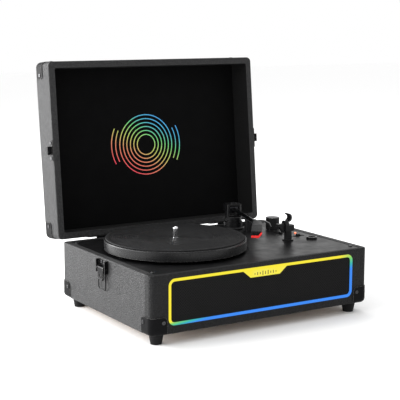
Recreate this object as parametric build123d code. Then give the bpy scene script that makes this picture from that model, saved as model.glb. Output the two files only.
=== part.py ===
"""Suitcase record player, opened: case, deck, platter, tonearm, controls, latches and hinged lid.

Built in millimetres about the middle of the case on the floor: X to the right along the front, Y to the
back, Z up. The finished set of pieces is then moved along Y, so that the origin is the middle of the opened
object's footprint.
The lid's pieces are drawn closed and turned open about the hinge pin.
"""

import os
from math import cos, radians, sin

from build123d import *

# Case and lid
CASE_W = 346.0
CASE_D = 254.0
CASE_BOTTOM = 15.0
CASE_TOP = 92.4
LID_TOP = 137.4
WALL = 9.4
CORNER_R = 7.0
EDGE_R = 1.5
SOFT_R = 5.5
RIM_GAP = 0.4
LID_PANEL = 3.4
OPEN_ANGLE = 95.8
PIVOT_BEHIND = 5.8
PIVOT_BELOW = 5.3

# Front
FRONT_WRAP = 15.0
FRONT_T = 6.0
RING_W = 294.0
RING_H = 60.2
RING_BAND = 3.6
RING_R = 9.0
RING_Z = 55.7
BADGE_TOP_HALF = 34.5
BADGE_LOW_HALF = 23.3
BADGE_DROP = 9.2

# Deck and platter
DECK_TOP = 92.0
DECK_T = 2.8
SPINDLE_X = -62.0
SPINDLE_R = 3.575
SPINDLE_TOP = 124.5
PLATTER_R = 98.0
PLATTER_TOP = 108.5
MAT_T = 2.0
DRUM_R = 52.0
PULLEY_R = 5.5
MOTOR_REACH = 80.0
MOTOR_ANGLE = 135.0

# Tonearm: the tube leaves the pivot at TUBE_ANGLE from straight ahead, and the headshell is offset further
PIVOT_X = 93.0
PIVOT_Y = 90.0
ARM_Z = 121.0
TUBE_ANGLE = 18.2
HEAD_OFFSET = 18.0
TUBE_LEN = 129.0
HEAD_LEN = 62.0
HEAD_LOW = 117.4
TUBE_R = 3.5
ARM_REST = (109.0, -28.0)
CLIP_PIVOT = (103.2, 116.6)
CLIP_OPEN = 80.0
PARKED_X = 95.0

# Controls on the deck
KNOB = (142.0, 56.0)
KNOB_R = 10.3
KNOB_TOP = 109.5
POINTER_ANGLE = 229.0
LAMP = (150.0, 9.5)
SPEED = (141.0, -9.0)
AUTOSTOP = (128.0, 20.0)
PHONES = (145.0, -37.0)
DECK_SCREW = (158.6, 107.6)

# Corner hardware
GUARD = 23.5
GUARD_H = 23.0
GUARD_T = 1.0
FOOT_IN = 17.5
FOOT_TOP_R = 9.8
FOOT_LOW_R = 7.35

# Latches, centred on LATCH_Y on each side
LATCH_Y = -1.0
LEVER_Z = 79.4
BAIL_Z = 74.9
BAIL_LEN = 24.6
BAIL_HALF = 10.2
LATCH_SCREW_Z = 87.2
WIRE_R = 0.8

# Hinges and back panel
HINGE_X = 105.0
HINGE_HALF = 20.0
JACKS_X = 80.0
JACKS_Z = 41.0

HALF_W = CASE_W / 2
HALF_D = CASE_D / 2
INNER_W = HALF_W - WALL
INNER_D = HALF_D - WALL
SEAM_Y = FRONT_WRAP - HALF_D
FRONT_IN = FRONT_T - HALF_D
PIVOT = (0, HALF_D + PIVOT_BEHIND, CASE_TOP - PIVOT_BELOW)
MAT_TOP = PLATTER_TOP + MAT_T
MOTOR = (
    SPINDLE_X + MOTOR_REACH * cos(radians(MOTOR_ANGLE)),
    MOTOR_REACH * sin(radians(MOTOR_ANGLE)),
)
CORNERS = [(sx, sy) for sx in (-1, 1) for sy in (-1, 1)]


# ---------------------------------------------------------------- shapes
def block(x0, x1, y0, y1, z0, z1):
    """A box between two corners."""
    return Pos((x0 + x1) / 2, (y0 + y1) / 2, (z0 + z1) / 2) * Box(x1 - x0, y1 - y0, z1 - z0)


def post(r, z0, z1, x=0.0, y=0.0):
    """A vertical cylinder."""
    return Pos(x, y, (z0 + z1) / 2) * Cylinder(r, z1 - z0)


def rod_x(r, x0, x1, y, z):
    """A cylinder along X."""
    return Pos((x0 + x1) / 2, y, z) * Rot(0, 90, 0) * Cylinder(r, abs(x1 - x0))


def rod_y(r, y0, y1, x, z):
    """A cylinder along Y."""
    return Pos(x, (y0 + y1) / 2, z) * Rot(90, 0, 0) * Cylinder(r, abs(y1 - y0))


def upright(width, depth, radius, z0, z1, y=0.0):
    """A vertical prism with rounded corners."""
    return Pos(0, y, z0) * extrude(RectangleRounded(width, depth, radius), z1 - z0)


def facing(sketch, y0, y1, x=0.0, z=0.0):
    """A sketch drawn as seen from the front, made solid from y0 back to y1."""
    return Pos(x, y1, z) * Rot(90, 0, 0) * extrude(sketch, y1 - y0, dir=(0, 0, 1))


def group(solids):
    """Several separate solids kept in one node."""
    return Compound(children=list(solids))


def mirrored(solid):
    """The same solid on the other side of the YZ plane."""
    return mirror(solid, about=Plane.YZ)


def both_sides(solid):
    """A left solid and its mirror image on the right."""
    return [solid, mirrored(solid)]


def opened(shape):
    """A lid piece turned from closed to open about the hinge pin."""
    return shape.rotate(Axis(PIVOT, (1, 0, 0)), -OPEN_ANGLE)


def screw(head_r, head_h, shank_r, length):
    """A cross-head screw standing on z = 0 with its shank below."""
    head = post(head_r, 0, head_h)
    head = fillet(head.edges().group_by(Axis.Z)[-1], head_h * 0.45)
    slot = head_r * 1.1
    depth = head_h * 0.55
    for turn in (0, 90):
        head -= Rot(0, 0, turn) * block(-slot / 2, slot / 2, -slot / 9, slot / 9, head_h - depth, head_h)
    return head + post(shank_r, -length, 0)


def shell_prism(z0, z1, grow=0.0, edge=EDGE_R):
    """The case's outer form between two heights, grown outwards and softened along its edges."""
    form = upright(CASE_W + 2 * grow, CASE_D + 2 * grow, CORNER_R + grow, z0 - grow, z1 + grow)
    flat = form.edges().group_by(Axis.Z)
    return fillet(flat[0] + flat[-1], edge + grow)


# ---------------------------------------------------------------- case
def guard_screw_places():
    """The corner guards' screws: a point on the face and its outward direction."""
    places = []
    for sx, sy in CORNERS:
        places.append((sx * (HALF_W - 18), sy * HALF_D, 0, sy))
        places.append((sx * HALF_W, sy * (HALF_D - 18), sx, 0))
    return places


def face_screw(x, y, nx, ny, z, proud):
    """A small screw set into an upright face, its head standing proud of it."""
    turn = Rot(0, 90 * nx, 0) if nx else Rot(-90 * ny, 0, 0)
    return Pos(x + nx * proud, y + ny * proud, z) * turn * screw(2.6, 0.9, 1.2, 5.0)


def face_hole(x, y, nx, ny, z, reach=6.0):
    """The hole for a face screw."""
    turn = Rot(0, 90 * nx, 0) if nx else Rot(-90 * ny, 0, 0)
    return Pos(x, y, z) * turn * Cylinder(1.25, 2 * reach)


def corner_blocks(z_edge, inward):
    """The blocks of space that the guards at height z_edge take, reaching inward (+1 up, -1 down)."""
    z_end = z_edge + inward * GUARD_H
    blocks = []
    for sx, sy in CORNERS:
        x0 = sx * (HALF_W - GUARD)
        y0 = sy * (HALF_D - GUARD)
        space = block(*sorted((x0, sx * (HALF_W + 9))), *sorted((y0, sy * (HALF_D + 9))),
                      *sorted((z_end, z_edge - inward * 9)))
        blocks.append((space, Vertex(x0, y0, z_end)))
    return blocks


def corner_guards(z_edge, inward):
    """Four three-sided guards over the rounded corners of the case's end at z_edge."""
    far = z_edge + inward * 60
    z0, z1 = min(z_edge, far), max(z_edge, far)
    skin = shell_prism(z0, z1, GUARD_T, SOFT_R) - shell_prism(z0, z1, 0, SOFT_R)
    solids = []
    for space, inner in corner_blocks(z_edge, inward):
        near = [e for e in space.edges() if e.distance_to(inner) < 0.01]
        guard = skin & fillet(near, 6.0)
        solids.append(guard.solids().sort_by(SortBy.VOLUME)[-1])
    return solids


def corner_waste(z_edge, inward):
    """What is rounded off the case's own corners under the guards."""
    far = z_edge + inward * 60
    soft = shell_prism(min(z_edge, far), max(z_edge, far), 0, SOFT_R)
    return [space - soft for space, _ in corner_blocks(z_edge, inward)]


def drill(solids, holes):
    """Each solid with the holes taken out."""
    cut = []
    for solid in solids:
        for hole in holes:
            if solid.bounding_box().overlaps(hole.bounding_box()):
                solid = solid - hole
        cut.append(solid)
    return cut


GUARD_SCREW_Z = CASE_BOTTOM + 16.0
LID_SCREW_Z = LID_TOP - 15.0
FEET = [(sx * (HALF_W - FOOT_IN), sy * (HALF_D - FOOT_IN)) for sx, sy in CORNERS]


def base_case():
    """Side and back walls in one, with the ledge under the deck and the window for the jack panel."""
    walls = shell_prism(CASE_BOTTOM, CASE_TOP)
    walls -= block(-INNER_W, INNER_W, -HALF_D - 1, INNER_D, CASE_BOTTOM - 1, CASE_TOP + 1)
    walls -= block(-HALF_W - 1, HALF_W + 1, -HALF_D - 1, SEAM_Y, CASE_BOTTOM - 1, CASE_TOP + 1)
    ledge_top = DECK_TOP - DECK_T
    ledge = block(-INNER_W - 1, INNER_W + 1, SEAM_Y, INNER_D + 1, ledge_top - 10, ledge_top)
    ledge -= block(10 - INNER_W, INNER_W - 10, SEAM_Y - 1, INNER_D - 10, ledge_top - 11, ledge_top + 1)
    walls += ledge
    walls -= block(JACKS_X - 42, JACKS_X + 42, INNER_D - 1, HALF_D + 1, JACKS_Z - 13, JACKS_Z + 13)
    for x, y, nx, ny in guard_screw_places():
        if y > SEAM_Y:
            walls -= face_hole(x, y, nx, ny, GUARD_SCREW_Z)
    for waste in corner_waste(CASE_BOTTOM, 1):
        walls -= waste
    for sx, sy in CORNERS:
        walls -= post(1.55, ledge_top - 8, ledge_top + 1, sx * DECK_SCREW[0], sy * DECK_SCREW[1])
    return walls


def bottom_panel():
    """The board that closes the case from below, with vent slots."""
    board = block(0.3 - INNER_W, INNER_W - 0.3, FRONT_IN + 0.2, INNER_D - 0.3, CASE_BOTTOM, CASE_BOTTOM + 4)
    for i in range(7):
        x = -30 + 10 * i
        slot = Pos(x, 20, CASE_BOTTOM + 2) * extrude(SlotOverall(44, 4, rotation=90), 4, both=True)
        board -= slot
    for x, y in FEET:
        board -= post(1.9, CASE_BOTTOM - 1, CASE_BOTTOM + 5, x, y)
    return board


def front_panel():
    """The moulded front that wraps round both front corners, with the window for the light ring."""
    panel = shell_prism(CASE_BOTTOM, CASE_TOP)
    panel &= block(-HALF_W - 1, HALF_W + 1, -HALF_D - 1, SEAM_Y - 0.25, CASE_BOTTOM - 1, CASE_TOP + 1)
    panel -= block(-INNER_W, INNER_W, FRONT_IN, SEAM_Y + 1, CASE_BOTTOM - 1, CASE_TOP + 1)
    window = RectangleRounded(RING_W + 0.3, RING_H + 0.3, RING_R + 0.15)
    panel -= facing(window, -HALF_D - 1, FRONT_IN + 1, 0, RING_Z)
    for waste in corner_waste(CASE_BOTTOM, 1):
        panel -= waste
    for x, y, nx, ny in guard_screw_places():
        if y < SEAM_Y:
            panel -= face_hole(x, y, nx, ny, GUARD_SCREW_Z)
    return panel


def ring_shape(outer_w, outer_h, outer_r, band):
    """A rounded rectangular frame."""
    hole = RectangleRounded(outer_w - 2 * band, outer_h - 2 * band, max(outer_r - band, 1.0))
    return RectangleRounded(outer_w, outer_h, outer_r) - hole


def light_ring():
    """The translucent frame that glows round the grille, standing a little proud of the front."""
    ring = facing(ring_shape(RING_W, RING_H, RING_R, RING_BAND), -HALF_D - 0.5, -HALF_D + 4.4, 0, RING_Z)
    front_edges = ring.edges().group_by(Axis.Y)[0]
    return chamfer(front_edges, 0.45)


def badge():
    """The plain badge that hangs from the ring's top band over the grille."""
    top = RING_Z + RING_H / 2 - RING_BAND - 0.05
    low = top - BADGE_DROP
    outline = Polygon(
        (-BADGE_TOP_HALF, top),
        (-BADGE_LOW_HALF, low),
        (BADGE_LOW_HALF, low),
        (BADGE_TOP_HALF, top),
        align=None,
    )
    plate = facing(outline, -HALF_D - 0.5, -HALF_D + 0.5)
    return chamfer(plate.edges().group_by(Axis.Y)[0], 0.3)


def speaker_grille():
    """The grille panel set back inside the light ring."""
    inner_w = RING_W - 2 * RING_BAND - 0.3
    inner_h = RING_H - 2 * RING_BAND - 0.3
    outline = RectangleRounded(inner_w, inner_h, RING_R - RING_BAND)
    return facing(outline, 0.6 - HALF_D, 2.1 - HALF_D, 0, RING_Z)


def led_board():
    """The frame-shaped board that carries the lamps behind the ring."""
    outline = ring_shape(RING_W - 1, RING_H - 1, RING_R - 0.5, 7)
    board = facing(outline, 4.8 - HALF_D, 5.8 - HALF_D, 0, RING_Z)
    lamps = []
    for i in range(12):
        for side in (-1, 1):
            x = -132 + 24 * i
            z = RING_Z + side * (RING_H - RING_BAND) / 2
            lamps.append(block(x - 1.4, x + 1.4, 4.45 - HALF_D, 4.8 - HALF_D, z - 1.2, z + 1.2))
    return board.fuse(*lamps)


DRIVER_X = 95.0
DRIVER_Z = 55.0
BAFFLE_Y = FRONT_IN + 0.2
BAFFLE_BACK = BAFFLE_Y + 6


def speaker_baffle():
    """The inner board that holds both drivers behind the grille."""
    half = INNER_W - 0.3
    board = block(-half, half, BAFFLE_Y, BAFFLE_BACK, CASE_BOTTOM + 4.2, DECK_TOP - DECK_T - 0.2)
    for sx in (-1, 1):
        board -= rod_y(25, BAFFLE_Y - 1, BAFFLE_BACK + 1, sx * DRIVER_X, DRIVER_Z)
    return board


def driver_basket(x):
    """A driver's flange, basket and magnet."""
    y = BAFFLE_BACK + 0.1
    rim = rod_y(29, y, y + 2, x, DRIVER_Z)
    bowl = Pos(x, y + 11, DRIVER_Z) * Rot(-90, 0, 0) * Cone(26, 15, 18)
    magnet = rod_y(16, y + 20, y + 30, x, DRIVER_Z)
    hollow = Pos(x, y + 9.0, DRIVER_Z) * Rot(-90, 0, 0) * Cone(24.4, 12.4, 20)
    return rim + bowl + magnet - hollow


def driver_cone(x):
    """A driver's paper cone with its surround and dust cap."""
    y = BAFFLE_BACK - 0.9
    outer = Pos(x, y + 7, DRIVER_Z) * Rot(-90, 0, 0) * Cone(23.0, 11.5, 14)
    inner = Pos(x, y + 6.4, DRIVER_Z) * Rot(-90, 0, 0) * Cone(22.4, 10.4, 14)
    surround = rod_y(24.9, y, y + 1, x, DRIVER_Z) - rod_y(21, y - 1, y + 2, x, DRIVER_Z)
    cap = rod_y(8.0, y + 10.5, y + 13.5, x, DRIVER_Z)
    return outer - inner + surround + cap


# ---------------------------------------------------------------- deck
def deck_plate():
    """The top plate, with the platter's shallow recess and the openings for what passes through it."""
    z0 = DECK_TOP - DECK_T
    width = 2 * (INNER_W - 0.3)
    y0, y1 = FRONT_IN + 0.3, INNER_D - 0.3
    plate = upright(width, y1 - y0, 2.0, z0, DECK_TOP, (y0 + y1) / 2)
    plate = chamfer(plate.edges().group_by(Axis.Z)[-1], 0.5)
    plate -= post(PLATTER_R + 3, DECK_TOP - 0.8, DECK_TOP + 1, SPINDLE_X)
    for r, (x, y) in [
        (6.2, (SPINDLE_X, 0)),
        (2.5, MOTOR),
        (8.2, (PIVOT_X, PIVOT_Y)),
        (3.4, KNOB),
        (1.7, LAMP),
        (4.3, PHONES),
    ]:
        plate -= post(r, z0 - 1, DECK_TOP + 1, x, y)
    for sx, sy in CORNERS:
        plate -= post(1.6, z0 - 1, DECK_TOP + 1, sx * DECK_SCREW[0], sy * DECK_SCREW[1])
    for (x, y), turn in ((SPEED, 0), (AUTOSTOP, 90)):
        pad = Pos(x, y, DECK_TOP - 0.6) * Rot(0, 0, turn) * extrude(RectangleRounded(20, 8, 1.5), 2)
        slot = Pos(x, y, DECK_TOP - 5) * Rot(0, 0, turn) * extrude(SlotOverall(15, 4), 8)
        plate = plate - pad - slot
    return plate


def deck_screws():
    """The four screws at the deck's corners."""
    x, y = DECK_SCREW
    return [Pos(sx * x, sy * y, DECK_TOP) * screw(2.8, 1.3, 1.5, 9) for sx, sy in CORNERS]


def spindle_bearing():
    """The flanged bush that holds the spindle upright in the deck."""
    seat = DECK_TOP - 0.8
    bush = post(12, seat, seat + 1.8, SPINDLE_X) + post(6, 70, seat, SPINDLE_X)
    return bush - post(3.02, 69, seat + 2, SPINDLE_X)


def spindle():
    """The fixed centre pin, with a shoulder on the bearing, a circlip groove and a rounded top."""
    shoulder = DECK_TOP + 1.05
    pin = post(SPINDLE_R, shoulder, SPINDLE_TOP, SPINDLE_X)
    pin = fillet(pin.edges().group_by(Axis.Z)[-1], 3.0)
    pin -= post(5, 108.9, 109.5, SPINDLE_X) - post(3.0, 108, 110, SPINDLE_X)
    return pin + post(3.0, 68, shoulder, SPINDLE_X)


def thrust_washer():
    """The washer that the platter's hub turns on."""
    low = DECK_TOP + 1.0
    return post(8, low, low + 1, SPINDLE_X) - post(3.7, low - 1, low + 2, SPINDLE_X)


def circlip():
    """The clip that keeps the platter on the spindle."""
    ring = post(5.8, 108.98, 109.42, SPINDLE_X) - post(3.05, 108, 110, SPINDLE_X)
    return ring - block(SPINDLE_X + 1, SPINDLE_X + 8, -1.8, 1.8, 108, 110)


def platter():
    """The turntable: a disc with a deep rim, a hub, and the drum that the belt drives."""
    disc = post(PLATTER_R, 95.6, PLATTER_TOP, SPINDLE_X)
    disc = fillet(disc.edges().group_by(Axis.Z)[-1], 1.6)
    disc -= post(PLATTER_R - 2.5, 95, PLATTER_TOP - 2.5, SPINDLE_X)
    drum = post(DRUM_R, 96.5, PLATTER_TOP - 2, SPINDLE_X) - post(DRUM_R - 2.5, 96, PLATTER_TOP, SPINDLE_X)
    hub = post(8.5, DECK_TOP + 2.1, PLATTER_TOP, SPINDLE_X)
    body = disc + drum + hub
    for i in range(6):
        rib = Rot(0, 0, 60 * i) * block(8, DRUM_R - 1, -1, 1, 100, PLATTER_TOP - 2)
        body += Pos(SPINDLE_X, 0, 0) * rib
    return body - post(SPINDLE_R + 0.05, 90, 112, SPINDLE_X)


def slipmat():
    """The mat on the platter."""
    mat = post(PLATTER_R - 2, PLATTER_TOP, MAT_TOP, SPINDLE_X)
    mat = fillet(mat.edges().group_by(Axis.Z)[-1], 0.6)
    return mat - post(6.5, 108, 112, SPINDLE_X)


def motor():
    """The drive motor under the deck, with its mounting ears and shaft."""
    x, y = MOTOR
    top = DECK_TOP - DECK_T - 0.1
    can = post(14, 62, top - 1, x, y)
    can = fillet(can.edges().group_by(Axis.Z)[0], 2.0)
    ears = Pos(x, y, top - 1) * extrude(SlotOverall(46, 16), 1)
    return can + ears + post(1.0, top - 2, 103.6, x, y)


def motor_pulley():
    """The flanged pulley on the motor's shaft."""
    x, y = MOTOR
    wheel = post(PULLEY_R, 97.0, 103.2, x, y) + post(PULLEY_R + 1.6, 96.4, 97.2, x, y)
    wheel += post(PULLEY_R + 1.6, 103.0, 103.8, x, y)
    return wheel - post(1.04, 96, 105, x, y)


def drive_belt():
    """The flat belt from the pulley to the platter's drum."""
    loops = []
    for gap in (0.15, 1.0):
        big = Pos(SPINDLE_X, 0) * Circle(DRUM_R + gap)
        small = Pos(*MOTOR) * Circle(PULLEY_R + gap)
        loops.append(make_hull(big.edges() + small.edges()))
    return Pos(0, 0, 98.2) * extrude(loops[1] - loops[0], 3.8)


def amp_board():
    """The amplifier board on its stand-offs, with its parts, the volume control and the switch bodies."""
    board = block(50, 140, 20, 90, 28, 29.6)
    for x, y in ((54, 24), (136, 24), (54, 86), (136, 86)):
        board += post(2.5, CASE_BOTTOM + 4, 28, x, y)
    for x, y, r, h in ((70, 40, 5, 14), (84, 40, 5, 14), (120, 70, 4, 10), (64, 70, 3, 8)):
        board += post(r, 29.6, 29.6 + h, x, y)
    board += block(92, 116, 34, 46, 29.6, 44) + block(76, 92, 62, 78, 29.6, 32)
    under = DECK_TOP - DECK_T - 0.1
    pot = block(KNOB[0] - 8, KNOB[0] + 8, KNOB[1] - 8, KNOB[1] + 8, under - 8, under)
    pot += post(3.0, under, 104, *KNOB)
    switches = [block(x - 11, x + 11, y - 5, y + 5, under - 8, under - 2.5) for x, y in (SPEED,)]
    switches += [block(x - 5, x + 5, y - 11, y + 11, under - 8, under - 2.5) for x, y in (AUTOSTOP,)]
    return [board, pot] + switches


def volume_knob():
    """The tall fluted knob, with a pointer groove on its top."""
    x, y = KNOB
    knob = post(KNOB_R, DECK_TOP + 0.4, KNOB_TOP, x, y)
    knob = fillet(knob.edges().group_by(Axis.Z)[-1], 0.8)
    for i in range(30):
        turn = radians(12 * i)
        flute_x = x + (KNOB_R + 0.25) * cos(turn)
        flute_y = y + (KNOB_R + 0.25) * sin(turn)
        knob -= post(0.6, DECK_TOP + 2.4, KNOB_TOP - 1.6, flute_x, flute_y)
    knob -= post(3.05, DECK_TOP, 104.4, x, y)
    groove = Rot(0, 0, POINTER_ANGLE) * block(2.5, KNOB_R + 1, -0.6, 0.6, KNOB_TOP - 0.6, KNOB_TOP + 1)
    return knob - Pos(x, y, 0) * groove


def pilot_lamp():
    """The power lamp's lens in the deck."""
    lens = post(1.6, 86, DECK_TOP + 1.4, *LAMP)
    return fillet(lens.edges().group_by(Axis.Z)[-1], 1.2)


def switch_cap(place, turn, start):
    """A slide switch's cap and stem, at the start of its travel."""
    cap = block(-2.6, 2.6, -1.7, 1.7, DECK_TOP - 0.2, DECK_TOP + 3.0)
    cap = fillet(cap.edges().group_by(Axis.Z)[-1], 0.6)
    cap += block(-2.0, 2.0, -1.5, 1.5, DECK_TOP - DECK_T - 2.4, DECK_TOP)
    return Pos(*place, 0) * Rot(0, 0, turn) * Pos(start, 0, 0) * cap


def headphone_jack():
    """The headphone socket: a raised ring, a recessed nut and the barrel under the deck."""
    ring = post(7.8, DECK_TOP, DECK_TOP + 3.3, *PHONES)
    ring = chamfer(ring.edges().group_by(Axis.Z)[-1], 0.7)
    ring -= post(5.4, DECK_TOP + 1.3, DECK_TOP + 5, *PHONES)
    nut = post(3.6, DECK_TOP + 1, DECK_TOP + 2.5, *PHONES)
    barrel = post(4.1, 78, DECK_TOP + 1, *PHONES)
    return ring + nut + barrel - post(1.8, 79.5, DECK_TOP + 5, *PHONES)


# ---------------------------------------------------------------- tonearm
def on_arm(shape):
    """A shape drawn with the pivot at the origin and the tube along +X, put in place over the deck."""
    return Pos(PIVOT_X, PIVOT_Y, 0) * Rot(0, 0, -90 - TUBE_ANGLE) * shape


def on_head(shape):
    """A shape drawn with the tube's end at the origin and the headshell along +X, put in place."""
    return on_arm(Pos(TUBE_LEN, 0, 0) * Rot(0, 0, -HEAD_OFFSET) * shape)


def side_profile(points, half_width):
    """A side view (along, height) made solid across the arm."""
    return Rot(90, 0, 0) * extrude(Polygon(*points, align=None), half_width, both=True)


def tonearm_base():
    """The plinth that carries the tonearm, with the bore for the turret's post."""
    base = post(17, DECK_TOP, 95, PIVOT_X, PIVOT_Y)
    base = chamfer(base.edges().group_by(Axis.Z)[-1], 1.0)
    base += post(14, 95, 103, PIVOT_X, PIVOT_Y) + post(8, 86, DECK_TOP, PIVOT_X, PIVOT_Y)
    return base - post(6.05, 85, 104, PIVOT_X, PIVOT_Y)


def arm_turret():
    """The swivelling yoke: a post in the base, a round foot, two cheeks with bores, a bridge and a cap."""
    foot = post(12.5, 103.3, 111)
    foot = chamfer(foot.edges().group_by(Axis.Z)[-1], 1.5)
    yoke = foot + post(6, 87, 103.3)
    for side in (-1, 1):
        yoke += block(-7, 7, *sorted((side * 7.2, side * 10.8)), 110, 129.5)
    yoke += block(-7, 7, -10.8, 10.8, 127.5, 129.5)
    yoke = chamfer(yoke.edges().filter_by(Axis.Z).group_by(SortBy.LENGTH)[-1], 1.0)
    yoke += post(5, 129.5, 131)
    yoke -= rod_y(1.55, -12, 12, 0, ARM_Z)
    return on_arm(yoke)


def arm_tube():
    """The tube with its pivot block and trunnions."""
    tube = rod_x(TUBE_R, -22, TUBE_LEN, 0, ARM_Z)
    pivot = block(-5, 5, -6, 6, ARM_Z - 5, ARM_Z + 5)
    pivot = fillet(pivot.edges().filter_by(Axis.Y), 1.5)
    arm = tube + pivot + rod_y(1.5, -10.6, 10.6, 0, ARM_Z)
    return on_arm(arm - rod_x(2.7, 8, TUBE_LEN + 1, 0, ARM_Z))


def counterweight():
    """The rounded weight on the arm's tail."""
    weight = block(-25, -11, -9.5, 9.5, ARM_Z - 6, ARM_Z + 6)
    weight = fillet(weight.edges().filter_by(Axis.X), 3.0)
    weight = fillet(weight.edges().group_by(Axis.X)[0], 1.0)
    return on_arm(weight - rod_x(TUBE_R + 0.02, -22.1, -10, 0, ARM_Z))


def across_head(points, s0, s1):
    """A front view of the headshell (right, height) made solid from s0 to s1 along it."""
    return Pos(s0, 0, 0) * Rot(90, 90, 0) * extrude(Polygon(*points, align=None), s1 - s0, dir=(0, 0, 1))


def headshell():
    """The shell: flat behind and sloping in front, with a socket, ribs, two recesses and a finger lift."""
    under = HEAD_LOW
    profile = [(-3, under), (-3, 125.4), (3, 127.0), (34, 127.0), (HEAD_LEN, 123.2), (HEAD_LEN, under)]
    plan = Polygon((-3, -6.6), (HEAD_LEN, -7.2), (HEAD_LEN, 7.2), (-3, 6.6), align=None)
    shell = side_profile(profile, 9) & (Pos(0, 0, 115) * extrude(plan, 15))
    shell = chamfer(shell.edges().group_by(Axis.Z)[-1], 0.6)
    shell -= across_head([(-9, 110), (-9, under), (2.6, under), (5.6, 121.6), (9, 121.6), (9, 110)], 48, 70)
    for w in (-2.6, 0.0, 2.6):
        shell -= Pos(50, w, 126.2) * Rot(0, 7.7, 0) * Box(30, 0.7, 3.4)
    for w in (-3.4, 2.0):
        shell -= block(HEAD_LEN - 3, HEAD_LEN + 1, w - 1.7, w + 1.7, under + 1.0, 121.4)
        shell += rod_x(1.0, HEAD_LEN - 3.5, HEAD_LEN - 1.2, w, 119.8)
    lift = [(4.5, 125.6), (10, 126.4), (15.4, 123.6), (18.2, 118.8)]
    lift += [(19.4, 119.6), (16.6, 125.0), (10.6, 127.9), (4.5, 127.0)]
    shell += across_head(lift, 4, 11)
    collar = rod_x(4.8, -6.5, 3, 0, ARM_Z) - rod_x(TUBE_R + 0.02, -8, 0.02, 0, ARM_Z)
    bore = on_arm(rod_x(TUBE_R + 0.02, TUBE_LEN - 14, TUBE_LEN + 0.02, 0, ARM_Z))
    return (on_head(shell) + on_arm(Pos(TUBE_LEN, 0, 0) * collar)) - bore


def cartridge():
    """The pick-up cartridge under the headshell."""
    body = side_profile([(22, 114.6), (22, HEAD_LOW), (48.9, HEAD_LOW), (48.9, 113.9), (30, 113.9)], 6.6)
    return on_head(body)


def stylus():
    """The stylus holder, turned up along the right side, with its cantilever and tip."""
    low = 114.4
    band = [(-7.0, low), (3.2, low), (7.4, 119.6), (7.4, 121.6)]
    band += [(5.6, 121.6), (2.6, HEAD_LOW), (-7.0, HEAD_LOW)]
    holder = across_head(band, 49, HEAD_LEN + 1.2)
    tip = Pos(56, 0, 113.4) * Cone(0.2, 0.9, 2.0)
    reed = Pos(54, 0, 113.9) * Rot(0, 15, 0) * Box(6, 0.8, 0.9)
    return on_head(holder + tip + reed)


CUE_TURN = 15.0
CUE_REACH = 30.0
BAR_TOP = ARM_Z - TUBE_R - 0.5
CUE_POST = (PIVOT_X + CUE_REACH * sin(radians(CUE_TURN)), PIVOT_Y - CUE_REACH * cos(radians(CUE_TURN)))
CUE_AXLE = (CUE_POST[1], 104.0)


def cue_housing():
    """The housing of the arm lift, beside the tonearm's base."""
    x, y = CUE_POST
    body = post(5.2, DECK_TOP, 111.4, x, y) + block(x, x + 11, y - 5, y + 5, DECK_TOP, 109)
    body = chamfer(body.edges().group_by(Axis.Z)[-1], 0.6)
    body -= post(1.8, 97, 113, x, y)
    return body - rod_x(1.25, x + 6, x + 12, *CUE_AXLE)


def cue_platform():
    """The curved bar under the tube, on the plunger that raises it."""
    x, y = CUE_POST
    ring = post(CUE_REACH + 1.5, 114.0, BAR_TOP) - post(CUE_REACH - 1.5, 113, 118)
    span = 62.0
    edge = (60 * cos(radians(span)), 60 * sin(radians(span)))
    wedge = Polygon((0, 0), (60, 0), (60, 60), edge, align=None)
    bar = ring & extrude(Pos(0, 0, 110) * wedge, 10)
    bar = Pos(PIVOT_X, PIVOT_Y, 0) * Rot(0, 0, -90 - (span - CUE_TURN - 2)) * bar
    return bar + post(1.75, 99, 114.4, x, y)


def cue_lever():
    """The lever on the side of the lift's housing."""
    x, y = CUE_POST[0] + 11.3, CUE_POST[1]
    z = CUE_AXLE[1]
    hub = rod_x(3.6, x, x + 3, y, z) + rod_x(1.2, x - 4, x, y, z)
    arm = Pos(x + 1.5, y, z) * Rot(25, 0, 0) * block(-1.5, 1.5, -17, 0, -1.4, 1.4)
    return hub + arm


def arm_rest():
    """The pillar with the cradle for the parked tube and the ears that carry the clip."""
    x, y = ARM_REST
    rest = post(8, DECK_TOP, DECK_TOP + 2, x, y) + post(5.6, DECK_TOP, 109, x, y)
    rest += block(x - 7.5, x + 7, y - 5.5, y + 5.5, 106, 114.8)
    for side in (-1, 1):
        ear = block(x - 7.5, x - 2.2, *sorted((y + side * 3.2, y + side * 5.5)), 114, 120.4)
        rest += fillet(ear.edges().filter_by(Axis.Y).group_by(Axis.Z)[-1], 2.4)
    rest += block(89.6, 100.6, y - 3, y + 3, 113.4, 117.1)
    rest += block(100, x - 7, y - 3, y + 3, 113.4, 114.8)
    gusset = Polygon((92, 113.6), (x - 7, 113.6), (x - 7, 103.8), (x - 10, 103.8), align=None)
    rest += facing(gusset, y - 2.4, y + 2.4)
    return rest - rod_y(1.06, y - 7, y + 7, *CLIP_PIVOT)


def arm_clip():
    """The clip that swings over the parked tube, standing open."""
    y = ARM_REST[1]
    arc = Circle(6.4) - Circle(4.1)
    keep = Polygon((0, 0), (9, -1.6), (9, 9), (-9, 9), (-9, 2.4), align=None)
    hook = Pos(PARKED_X, ARM_Z) * (arc & keep)
    link = Polygon((102.0, 115.6), (104.6, 117.2), (101.0, 122.4), (99.3, 120.6), align=None)
    flat = hook + link + Pos(*CLIP_PIVOT) * Circle(1.7)
    clip = facing(flat, y - 2.9, y + 2.9)
    clip += facing(hook - Pos(*CLIP_PIVOT) * Circle(5.8), y - 4.8, y + 4.8)
    clip += rod_y(1.0, y - 5.4, y + 5.4, *CLIP_PIVOT)
    return clip.rotate(Axis((CLIP_PIVOT[0], 0, CLIP_PIVOT[1]), (0, 1, 0)), CLIP_OPEN)


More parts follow.
